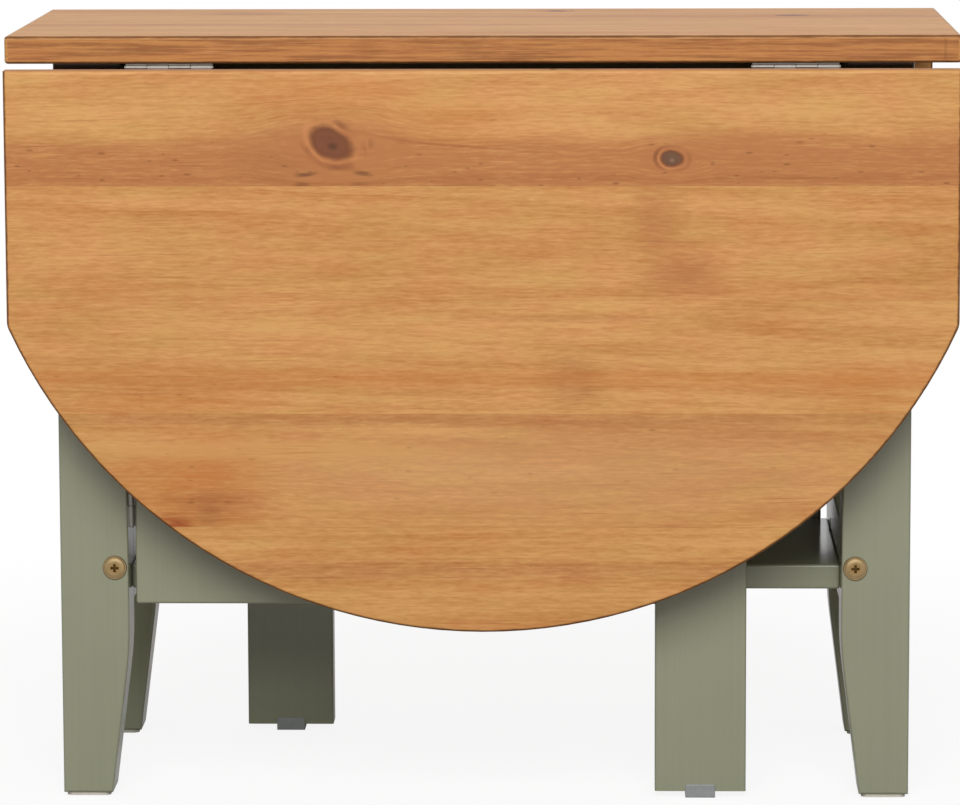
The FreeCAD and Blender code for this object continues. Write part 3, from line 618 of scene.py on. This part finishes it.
class PineBoard:
    """Stained and waxed pine with its grain along X. Lengths are in millimetres.

    The staves lie side by side along the across axis from first_joint. Outline gives the distance in from
    the board's edges, and faces are the places of its two faces on the through axis.
    """

    def __init__(self, name, across, through, first_joint, stave, seed, knots, outline, faces):
        self.material, tree, self.shader = new_material(name)
        place = place_in(tree)
        self.along, self.across, self.through = place["X"], place[across], place[through]
        self.first_joint, self.stave = first_joint, stave
        self.knots = knots
        self.faces = faces
        self.from_edge = outline(place)
        self.stave_place = (self.across - first_joint) / stave
        self.index = self.stave_place.calc("FLOOR")
        self.tint, self.pith_side, self.pith_depth = white_noise(self.index + seed)
        self.own = self.index * STAVE_DRAW_STEP + seed
        self.bent = self.across
        for knot in knots:
            self.bent = around_knot(self.bent, self.along, knot)
        long_wander = self.flat_noise(self.bent, length=330.0, width=70.0, detail=1.0) * 9.0
        short_wander = self.flat_noise(self.bent, length=45.0, width=9.0) * 1.5
        self.grain = self.bent + (long_wander + short_wander)
        self.ripples = noise(self.along / RIPPLE_LENGTH, self.grain / RIPPLE_WIDTH,
                             self.through / RIPPLE_WIDTH, roughness=0.6)
        self.fibres = self.deep_noise(length=34.0, width=1.5, detail=3.0, roughness=0.6)
        self.late = self.late_wood()

    def flat_noise(self, across, length, width, shift=0.0, **kind):
        """Noise of a length and a width on a face of the board. The shift gives each use its own draw."""
        return noise(self.along / length, across / width, self.own + shift, **kind)

    def deep_noise(self, length, width, **kind):
        """Noise of a length along the grain, and a width across it and into the wood."""
        return noise(self.along / length, self.grain / width, self.through / width + self.own, **kind)

    def on_stave(self, spot):
        """1 on the stave that holds a place across the grain, 0 on the others."""
        wanted = math.floor((spot - self.first_joint) / self.stave)
        return (self.index - wanted).size().rise(0.6, 0.4)

    def late_wood(self):
        """The dark side of the year rings, round a pith outside the board that differs for each stave."""
        stave_middle = (self.index + 0.5) * self.stave + self.first_joint
        side = self.grain - stave_middle + (self.pith_side - 0.5) * PITH_SIDE_SPREAD
        depth = self.through - self.faces[0] + self.pith_depth * PITH_DEPTH_SPREAD + PITH_DEPTH
        slope = (self.tint - 0.5) * TREE_TAPER
        radius = (side * side + depth * depth).calc("SQRT") + self.along * slope
        ring = (radius / RING_WIDTH).calc("FRACT")
        strength = self.flat_noise(self.bent, length=130.0, width=30.0, shift=3.0) + 0.5
        return ring.rise(0.2, 0.86) * ring.rise(1.0, 0.9) * strength

    def plain_wood(self):
        """Wood from pale to deep by its rings, bands, clouds and fibres."""
        bands = self.deep_noise(length=170.0, width=9.0, detail=3.0)
        clouds = self.flat_noise(self.across, length=85.0, width=30.0)
        hue = self.flat_noise(self.across, length=40.0, width=14.0, shift=5.0) * 2.2 + 0.5
        tone = self.late * 0.42 + bands * 0.8 + clouds * 0.55 + (self.tint - 0.5) * 0.16 + 0.3
        tone = tone + self.ripples * 1.25 + self.fibres * 0.9
        return blend(tone, blend(hue, *PALE_WOOD), blend(hue, *DEEP_WOOD))

    def with_patches(self, wood, patches):
        """Wood with patches of another colour in its fibres, and the share of the strongest patch."""
        ragged = self.flat_noise(self.bent, length=45.0, width=6.0, shift=2.0, detail=4.0, roughness=0.6)
        streaky = self.fibres * 1.4 + self.ripples * 1.3 + 1.0
        strongest = None
        for patch in patches:
            along = self.along - patch.x
            beside = self.bent - patch.across
            reach = ellipse(along, beside, patch.half_length, patch.half_width, patch.turn) + ragged * 0.9
            share = reach.rise(1.0 + patch.softness, 1.0 - patch.softness)
            share = share * self.on_stave(patch.across) * patch.strength
            wood = blend(share * streaky, wood, patch.shade)
            strongest = share if strongest is None else strongest.above(share)
        return wood, strongest

    def with_edges(self, wood):
        """Wood with pale and dark streaks on the edges of the board."""
        on_edge = self.from_edge.rise(EDGE_START, EDGE_FULL)
        streaks = self.flat_noise(self.through, length=55.0, width=1.8, shift=6.0, detail=3.0, roughness=0.6)
        wood = blend(on_edge * streaks.rise(-0.1, 0.16) * 0.75, wood, EDGE_PALE)
        return blend(on_edge * streaks.rise(0.04, -0.16) * 0.6, wood, EDGE_DARK)

    def with_flecks(self, wood, strongest):
        """Wood with fine dark lines and short resin dashes, more of them inside the patches."""
        tree = self.along.tree
        lines = self.flat_noise(self.grain, length=75.0, width=1.1, shift=9.0)
        wood = blend(lines.rise(0.13, 0.27) * (strongest * 0.3 + 0.32), wood, FINE_LINE)
        inputs = {"X": self.along / DASH_LENGTH, "Y": self.grain / DASH_WIDTH, "Z": self.own}
        spot = add_node(tree, "ShaderNodeCombineXYZ", inputs).outputs[0]
        cells = add_node(tree, "ShaderNodeTexVoronoi", {"Vector": spot, "Scale": 1.0}).outputs
        draws = add_node(tree, "ShaderNodeSeparateColor", {0: cells["Color"]}).outputs
        dash_size = Pattern(draws["Green"]) * 0.36 + 0.1
        dash = (Pattern(cells["Distance"]) / dash_size).rise(1.0, 0.3)
        dash = dash * (Pattern(draws["Red"]) + strongest * 0.2).rise(0.94, 1.0)
        return blend(dash * (strongest * 0.5 + 0.1), wood, RESIN_DASH)

    def with_knots(self, wood):
        """Wood with knots, each with a halo, a broken pale ring, a dark arc, and a core with an eye."""
        rough = self.flat_noise(self.across, length=6.0, width=5.0, detail=3.0, roughness=0.6)
        swirl = self.flat_noise(self.across, length=15.0, width=13.0, shift=4.0, detail=1.0)
        cracks = (self.ripples * 2.0 + rough + 0.5).rise(0.3, 0.9) * 0.35
        for knot in self.knots:
            length, width = knot.half_length, knot.half_width
            along = self.along - knot.x
            beside = self.across - knot.across
            here = self.on_stave(knot.across)
            tailed = along / (along.rise(0.0, length * 1.2) * 0.2 + 1.0)
            shape = ellipse(tailed, beside, length, width, knot.turn) + rough * 0.2 + swirl * 0.4
            halo = ellipse(along, beside, length * 2.6, width * 1.7) + rough * 0.6
            wood = blend(halo.rise(1.3, 0.4) * here * 0.6, wood, KNOT_HALO)
            sheltered = (along / length + beside / width * 0.5 + swirl * 4.0).rise(0.9, -0.7)
            ring = shape.rise(0.98, 1.1) * shape.rise(1.4, 1.2) * sheltered
            wood = blend(ring * here * 0.45, wood, KNOT_RING)
            arc = shape.rise(1.2, 1.38) * shape.rise(1.75, 1.5) * (swirl * 4.0 + 0.35)
            wood = blend(arc * here * 0.6, wood, KNOT_ARC)
            core = blend(cracks, blend(shape.rise(0.6, 1.0), knot.heart, KNOT_RIM), KNOT_CRACK)
            eye = ellipse(along - length * 0.15, beside + width * 0.22, length, width) + rough * 0.2
            core = blend(eye.rise(0.34, 0.08) * 0.8, core, knot.eye)
            wood = blend(shape.rise(1.2, 0.8) * here * 0.94, wood, core)
        return wood

    def with_joints(self, wood):
        """Wood with a thin glue line between the staves."""
        line = (self.stave_place.calc("FRACT") - 0.5).size().rise(GLUE_START, GLUE_FULL)
        return blend(line * GLUE_STRENGTH, wood, GLUE_LINE)

    def arris_stain(self):
        """1 along the arrises, where the stain has gathered, with a smeared border."""
        from_face = (self.through - self.faces[0]).below(self.faces[1] - self.through)
        smear = noise(self.along / SMEAR_LENGTH, self.across / SMEAR_WIDTH, self.through / SMEAR_DEPTH,
                      detail=4.0, roughness=0.65)
        arris = self.from_edge.above(from_face) + smear * 1.6
        return arris.rise(STAIN_LINE * 1.6, STAIN_LINE * 0.6)

    def waxed(self, patches):
        """The board's finished material."""
        wood, strongest = self.with_patches(self.plain_wood(), patches)
        wood = self.with_flecks(self.with_edges(wood), strongest)
        wood = self.with_joints(self.with_knots(wood))
        stain = self.arris_stain()
        wood = blend(stain * STAIN_STRENGTH, wood, ARRIS_STAIN)
        roughness = self.fibres * 0.2 + stain * 0.2 + WOOD_ROUGHNESS
        height = self.fibres * 0.6 + self.ripples * 0.3 + self.late * 0.5
        link_finish(self.shader, wood, roughness, height, WOOD_RELIEF)
        self.shader.inputs["Specular IOR Level"].default_value = WOOD_SHINE
        return self.material


top_low, top_high = [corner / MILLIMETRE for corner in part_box("top")]


def top_outline(place):
    """Distance in from the four edges of the top."""
    return (top_high.x - place["X"].size()).below(top_high.y - place["Y"].size())


REDDISH = colour(182, 118, 68)
ORANGE = colour(196, 120, 58)
BROWN = colour(164, 100, 54)
HONEY = colour(216, 164, 98)
FRONT_EDGE = colour(164, 99, 53)
RED_HEART = colour(118, 66, 42)
DARK_EYE = colour(72, 38, 20)
GREY_HEART = colour(102, 74, 54)
PALE_EYE = colour(134, 104, 86)
TOP_STAVES = 4
TOP_SEED = 3.0
TOP_KNOTS = (
    Knot(183.0, 52.0, 9.0, 6.0, 10.0, RED_HEART, DARK_EYE),
    Knot(40.0, 96.0, 6.0, 5.0, 0.0, GREY_HEART, PALE_EYE),
)
TOP_PATCHES = (
    Patch(190.0, 44.0, 260.0, 12.0, 0.3, 0.7, REDDISH),
    Patch(-200.0, -26.0, 280.0, 9.0, 0.3, 0.6, REDDISH),
    Patch(60.0, -96.0, 190.0, 8.0, 0.4, 0.4, ORANGE),
    Patch(-60.0, 84.0, 140.0, 7.0, 0.4, 0.5, HONEY),
    Patch(-195.0, -22.0, 16.0, 2.5, 0.6, 0.4, BROWN),
    Patch(0.0, -122.0, 900.0, 3.5, 0.5, 0.7, FRONT_EDGE),
    Patch(-150.0, 76.0, 26.0, 14.0, 0.7, 0.5, BROWN),
)
top_stave = (top_high.y - top_low.y) / TOP_STAVES
top_board = PineBoard("waxed_pine_top", "Y", "Z", top_low.y, top_stave, TOP_SEED,
                      TOP_KNOTS, top_outline, (top_low.z, top_high.z))
dress(top_board.waxed(TOP_PATCHES), "top")


# Hinges: pressed steel butt hinges, bright plated, two on each leaf and two on each gate.
# The plates are folded round a pin, which stays with the table's frame.
HINGE_PLATES = [side + "_leaf_" + hand + "_hinge_" + plate + "_plate" for side in ("front", "rear")
                for hand in ("left", "right") for plate in ("top", "leaf")]
HINGE_PLATES += [side + "_gate_" + level + "_hinge_" + plate + "_plate" for side in ("front", "rear")
                 for level in ("lower", "upper") for plate in ("leg", "gate")]
HINGE_PINS = [side + "_" + part + "_hinge_pins" for side in ("front", "rear") for part in ("leaf", "gate")]
dress(bright_steel, *HINGE_PLATES, *HINGE_PINS)


# Hinge screws: small countersunk screws of bright plated steel with a cross recess.
# Two go through each hinge plate, into the top, the leaves, the legs and the gates.
HINGE_SCREW = screw_sizes(0.0029, 0.001, 0.0015, 0.011)
HINGE_SCREW_SPREAD = 0.028
PIN_TO_SCREW = 0.00885
PIN_TO_SCREW_HEAD = 0.0012


def plate_seats(plate, pin, along, across, into):
    """Seats of a hinge plate's two screws, from its pin: along it, across the plate and into the wood."""
    hinge_middle = pin + along * (middle(plate) - pin).dot(along)
    head = hinge_middle + across * PIN_TO_SCREW + into * PIN_TO_SCREW_HEAD
    return [(head + along * (side * HINGE_SCREW_SPREAD / 2), -into) for side in (-1, 1)]


AXIS_X, AXIS_Y, AXIS_Z = Vector((1, 0, 0)), Vector((0, 1, 0)), Vector((0, 0, 1))
hinge_pins = {joint["name"]: Vector(joint["pos_m"]) for joint in frame["joints"]}
fixed_seats = []
for side, inward in (("front", AXIS_Y), ("rear", -AXIS_Y)):
    leaf_pin = hinge_pins[side + "_leaf_lift"]
    gate_pin = hinge_pins[side + "_gate_swing"]
    to_leg = AXIS_X if gate_pin.x > 0 else -AXIS_X
    leaf_seats = []
    gate_seats = []
    for hand in ("left", "right"):
        hinge = side + "_leaf_" + hand + "_hinge_"
        fixed_seats += plate_seats(hinge + "top_plate", leaf_pin, AXIS_X, inward, AXIS_Z)
        leaf_seats += plate_seats(hinge + "leaf_plate", leaf_pin, AXIS_X, -AXIS_Z, -inward)
    for level in ("lower", "upper"):
        hinge = side + "_gate_" + level + "_hinge_"
        fixed_seats += plate_seats(hinge + "leg_plate", gate_pin, AXIS_Z, inward, to_leg)
        gate_seats += plate_seats(hinge + "gate_plate", gate_pin, AXIS_Z, inward, -to_leg)
    fasten(side + "_leaf_screws", screws, HINGE_SCREW, bright_steel, leaf_seats, side + "_leaf",
           "hinge_steel", side + "_leaf_hinge_screws")
    fasten(side + "_gate_screws", screws, HINGE_SCREW, bright_steel, gate_seats, side + "_gate",
           "hinge_steel", side + "_gate_hinge_screws")
fasten("fixed_hinge_screws", screws, HINGE_SCREW, bright_steel, fixed_seats, "base", "hinge_steel",
       "top_hinge_screws", "leg_hinge_screws")


# Gates: painted softwood frames of a stile, two rails and a leg, which carry the raised leaves.
# The joints are dowelled, and the stile is hinged to a leg of the table.
upright_paint = sage_paint("sage_paint_upright", "Z")
for side in ("front", "rear"):
    dress(upright_paint, side + "_gate_stile", side + "_gate_leg")
    dress(lengthwise_paint, side + "_gate_lower_rail", side + "_gate_upper_rail")


# Glides: U-shaped clips of grey plastic with a fine moulded grain.
# One is pressed over the foot of each gate leg, so that the gate slides over the floor.
PLASTIC_DARK = colour(128, 131, 132)
PLASTIC_LIGHT = colour(156, 159, 159)
PLASTIC_GRAIN_SIZE = 0.6
PLASTIC_WEAR_SIZE = 5.0
PLASTIC_RELIEF = 0.03 * MILLIMETRE
PLASTIC_ROUGHNESS = 0.38


def grey_plastic():
    """Moulded plastic with a fine grain and soft wear."""
    material, tree, shader = new_material("grey_plastic")
    place = place_in(tree)
    grain = speckle(place, PLASTIC_GRAIN_SIZE)
    wear = speckle(place, PLASTIC_WEAR_SIZE, detail=3.0)
    plastic = blend(wear + grain * 0.5 + 0.5, PLASTIC_DARK, PLASTIC_LIGHT)
    link_finish(shader, plastic, wear * 0.2 + PLASTIC_ROUGHNESS, grain, PLASTIC_RELIEF)
    return material


dress(grey_plastic(), "front_gate_glide", "rear_gate_glide")


# Leaves: the same glued pine as the top, sawn to a D and rounded over, with a stop block inside.
# They hang on their hinges from the top's edges, with the staves level.
leaf_low, leaf_high = [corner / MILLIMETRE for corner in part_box("front_leaf")]
rear_low, rear_high = [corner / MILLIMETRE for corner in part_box("rear_leaf")]
LEAF_SIDE = 147.0
leaf_half = leaf_high.x
leaf_drop = leaf_high.z - LEAF_SIDE - leaf_low.z
leaf_arc = (leaf_half ** 2 + leaf_drop ** 2) / (2 * leaf_drop)
leaf_arc_height = leaf_low.z + leaf_arc


def leaf_outline(place):
    """Distance in from the leaf's straight sides and its arc. Its upper edge is left pale."""
    below_arc = place["Z"] - leaf_arc_height
    from_arc = leaf_arc - (place["X"] * place["X"] + below_arc * below_arc).calc("SQRT")
    return (leaf_half - place["X"].size()).below(from_arc)


BLUSH = colour(206, 158, 114)
SMUDGE = colour(162, 104, 58)
FLAME = colour(160, 82, 38)
# A painted highlight for the leaf's upper arris.
ARRIS_PAINTED_HIGHLIGHT = colour(206, 164, 134)
BARK = colour(100, 58, 34)
LEAF_STAVE = 66.0
STAVES_DOWN = 10
FRONT_SEED = 11.0
FRONT_KNOTS = (
    Knot(-87.0, 390.0, 12.0, 8.8, -36.0, RED_HEART, DARK_EYE),
    Knot(108.0, 381.0, 6.4, 5.0, -8.0, GREY_HEART, PALE_EYE),
)
FRONT_PATCHES = (
    # Upper stave: a red band along its lower side that swells at the knots, and bark round the left knot.
    Patch(0.0, 373.0, 1200.0, 17.8, 0.36, 0.86, REDDISH),
    Patch(-92.0, 382.0, 75.0, 20.0, 0.5, 0.5, REDDISH),
    Patch(165.0, 390.0, 45.0, 7.0, 0.6, 0.5, REDDISH),
    Patch(262.0, 391.0, 28.0, 8.0, 0.6, 0.5, REDDISH),
    Patch(-16.0, 402.0, 32.0, 12.0, 0.8, 0.35, ORANGE),
    Patch(128.0, 391.0, 26.0, 7.0, 0.7, 0.5, REDDISH),
    Patch(-118.0, 382.0, 22.0, 11.0, 0.8, 0.35, SMUDGE),
    Patch(-50.0, 389.0, 26.0, 9.0, 0.8, 0.4, REDDISH),
    Patch(130.0, 381.0, 75.0, 17.0, 0.5, 0.4, REDDISH),
    Patch(-14.0, 388.3, 45.0, 0.8, 0.6, 0.7, BROWN, -4.2),
    # Painted highlight along the leaf's upper arris.
    Patch(0.0, 431.3, 9000.0, 1.7, 0.5, 0.75, ARRIS_PAINTED_HIGHLIGHT),
    Patch(-84.0, 418.0, 45.0, 9.0, 0.8, 0.4, ORANGE),
    Patch(-101.0, 376.5, 6.0, 1.4, 0.7, 0.6, BARK, 15.0),
    Patch(-102.5, 369.0, 4.0, 1.5, 0.8, 0.7, BARK),
    Patch(-68.0, 377.0, 5.0, 1.6, 0.8, 0.6, BARK, -20.0),
    Patch(-70.5, 369.5, 4.5, 1.4, 0.8, 0.5, BARK),
    Patch(60.0, 369.8, 300.0, 2.2, 0.8, 0.45, BROWN),
    # Second stave: a red shade below the right knot, in two parts.
    Patch(100.0, 346.0, 13.0, 17.0, 0.8, 0.65, REDDISH),
    Patch(114.0, 314.0, 22.0, 13.0, 0.8, 0.75, REDDISH),
    # Third stave: orange and brown streaks near its lower side.
    Patch(54.0, 252.0, 17.0, 13.0, 0.8, 0.5, SMUDGE),
    Patch(220.0, 247.0, 24.0, 12.0, 0.8, 0.3, ORANGE),
    Patch(0.0, 254.0, 1200.0, 5.0, 0.8, 0.4, ORANGE),
    Patch(-181.0, 241.0, 45.0, 6.0, 0.8, 0.5, ORANGE),
    Patch(48.0, 289.0, 60.0, 2.0, 0.7, 0.3, BROWN),
    Patch(-200.0, 250.0, 90.0, 7.0, 0.6, 0.15, REDDISH),
    # Fourth stave: paler in the middle, with a flame and smudges towards its left end.
    Patch(40.0, 200.0, 170.0, 26.0, 0.8, 0.3, BLUSH),
    Patch(-165.0, 192.0, 34.0, 24.0, 0.8, 0.6, ORANGE),
    Patch(-158.5, 176.0, 6.0, 8.0, 0.9, 0.6, SMUDGE),
    Patch(-135.0, 212.0, 110.0, 5.0, 0.5, 0.4, HONEY),
    Patch(-177.0, 168.5, 10.0, 4.8, 0.75, 0.9, FLAME, -12.0),
    Patch(0.0, 230.0, 1200.0, 3.5, 0.8, 0.35, BROWN),
    Patch(-156.0, 181.0, 27.0, 9.0, 0.8, 0.45, BROWN),
    Patch(120.0, 220.0, 110.0, 9.0, 0.6, 0.35, REDDISH),
    # Lowest stave: one brown streak.
    Patch(0.0, 142.0, 900.0, 5.0, 0.8, 0.35, BROWN),
)
REAR_SEED = 23.0
REAR_KNOTS = (
    Knot(120.0, 340.0, 10.0, 8.0, 25.0, RED_HEART, DARK_EYE),
    Knot(-60.0, 236.0, 6.0, 5.0, 0.0, GREY_HEART, PALE_EYE),
    Knot(-205.0, 372.0, 8.0, 6.0, -20.0, RED_HEART, DARK_EYE),
)
REAR_PATCHES = (
    Patch(0.0, 336.0, 1200.0, 14.0, 0.2, 0.85, REDDISH),
    Patch(150.0, 214.0, 170.0, 12.0, 0.5, 0.6, ORANGE),
    Patch(-120.0, 402.0, 150.0, 6.0, 0.5, 0.5, HONEY),
    Patch(-40.0, 150.0, 130.0, 4.0, 0.6, 0.5, BROWN),
)
leaf_first_joint = leaf_high.z - STAVES_DOWN * LEAF_STAVE
front_board = PineBoard("waxed_pine_front_leaf", "Z", "Y", leaf_first_joint, LEAF_STAVE, FRONT_SEED,
                        FRONT_KNOTS, leaf_outline, (leaf_low.y, leaf_high.y))
rear_board = PineBoard("waxed_pine_rear_leaf", "Z", "Y", leaf_first_joint, LEAF_STAVE, REAR_SEED,
                       REAR_KNOTS, leaf_outline, (rear_low.y, rear_high.y))
dress(front_board.waxed(FRONT_PATCHES), "front_leaf", "front_leaf_stop")
dress(rear_board.waxed(REAR_PATCHES), "rear_leaf", "rear_leaf_stop")


# Studio: a pale floor, a white surround, a large soft lamp in front and above, a weaker one behind,
# and the camera, which stands a little right of the middle and looks slightly down.
scene = bpy.context.scene
scene.view_settings.view_transform = "Standard"
WHITE = (1.0, 1.0, 1.0, 1.0)


def seen_directly(tree):
    """1 for what the camera, a mirror or glass sees, 0 for light that falls on the table."""
    path = add_node(tree, "ShaderNodeLightPath").outputs
    seen = Pattern(path["Is Camera Ray"]).above(path["Is Glossy Ray"])
    return seen.above(path["Is Transmission Ray"])


SURROUND_LIGHT = 0.32
world = bpy.data.worlds.new("studio")
scene.world = world
world.use_nodes = True
surround = world.node_tree.nodes["Background"]
surround.inputs["Color"].default_value = WHITE
strength = seen_directly(world.node_tree) * (1 - SURROUND_LIGHT) + SURROUND_LIGHT
world.node_tree.links.new(strength.socket, surround.inputs["Strength"])

FLOOR_SIZE = 8.0
FLOOR_LIT = colour(132, 127, 116)
FLOOR_SEEN = colour(250, 250, 249)
FLOOR_ROUGHNESS = 0.9
SHADOW_SHARE = 0.12
SHADOW_NEAR, SHADOW_FAR = 300.0, 900.0


def pale_floor():
    """A matt floor that the camera sees nearly white, with a soft shadow near the table."""
    material, tree, shader = new_material("floor")
    place = place_in(tree)
    from_table = (place["X"] * place["X"] + place["Y"] * place["Y"]).calc("SQRT")
    glow_share = from_table.rise(SHADOW_NEAR, SHADOW_FAR) * SHADOW_SHARE + (1 - SHADOW_SHARE)
    tree.links.new(blend(seen_directly(tree), FLOOR_LIT, FLOOR_SEEN), shader.inputs["Base Color"])
    shader.inputs["Roughness"].default_value = FLOOR_ROUGHNESS
    glow = add_node(tree, "ShaderNodeEmission", {"Color": WHITE, "Strength": 1.0}).outputs[0]
    by_camera = Pattern(add_node(tree, "ShaderNodeLightPath").outputs["Is Camera Ray"])
    inputs = {0: by_camera * glow_share, 1: shader.outputs[0], 2: glow}
    shown = add_node(tree, "ShaderNodeMixShader", inputs).outputs[0]
    tree.links.new(shown, tree.nodes["Material Output"].inputs["Surface"])
    return material


bpy.ops.mesh.primitive_plane_add(size=FLOOR_SIZE)
floor = bpy.context.object
floor.name = "floor"
floor.data.materials.append(pale_floor())

Lamp = namedtuple("Lamp", "name place power mirrored")
LAMPS = (
    Lamp("key", (-0.05, -2.7, 2.05), 86.5, True),
    Lamp("fill", (0.6, 3.0, 0.9), 20.0, False),
)
LAMP_AIM = Vector((0, 0, 0.22))
LAMP_SIZE = 2.1
for lamp in LAMPS:
    light = bpy.data.lights.new(lamp.name, "AREA")
    light.shape = "SQUARE"
    light.size = LAMP_SIZE
    light.energy = lamp.power
    stand = bpy.data.objects.new(lamp.name, light)
    stand.location = lamp.place
    stand.rotation_euler = (LAMP_AIM - stand.location).to_track_quat("-Z", "Y").to_euler()
    stand.visible_glossy = lamp.mirrored
    scene.collection.objects.link(stand)

CAMERA_PLACE = (0.0757, -2.9463, 0.6478)
CAMERA_PITCH, CAMERA_ROLL, CAMERA_YAW = (math.radians(angle) for angle in (81.74, 0.2, 1.541))
CAMERA_LENS, SENSOR_WIDTH = 184.8, 36.0
lens = bpy.data.cameras.new("camera")
lens.lens = CAMERA_LENS
lens.sensor_width = SENSOR_WIDTH
camera = bpy.data.objects.new("camera", lens)
camera.location = CAMERA_PLACE
camera.rotation_euler = (CAMERA_PITCH, CAMERA_ROLL, CAMERA_YAW)
scene.collection.objects.link(camera)
scene.camera = camera
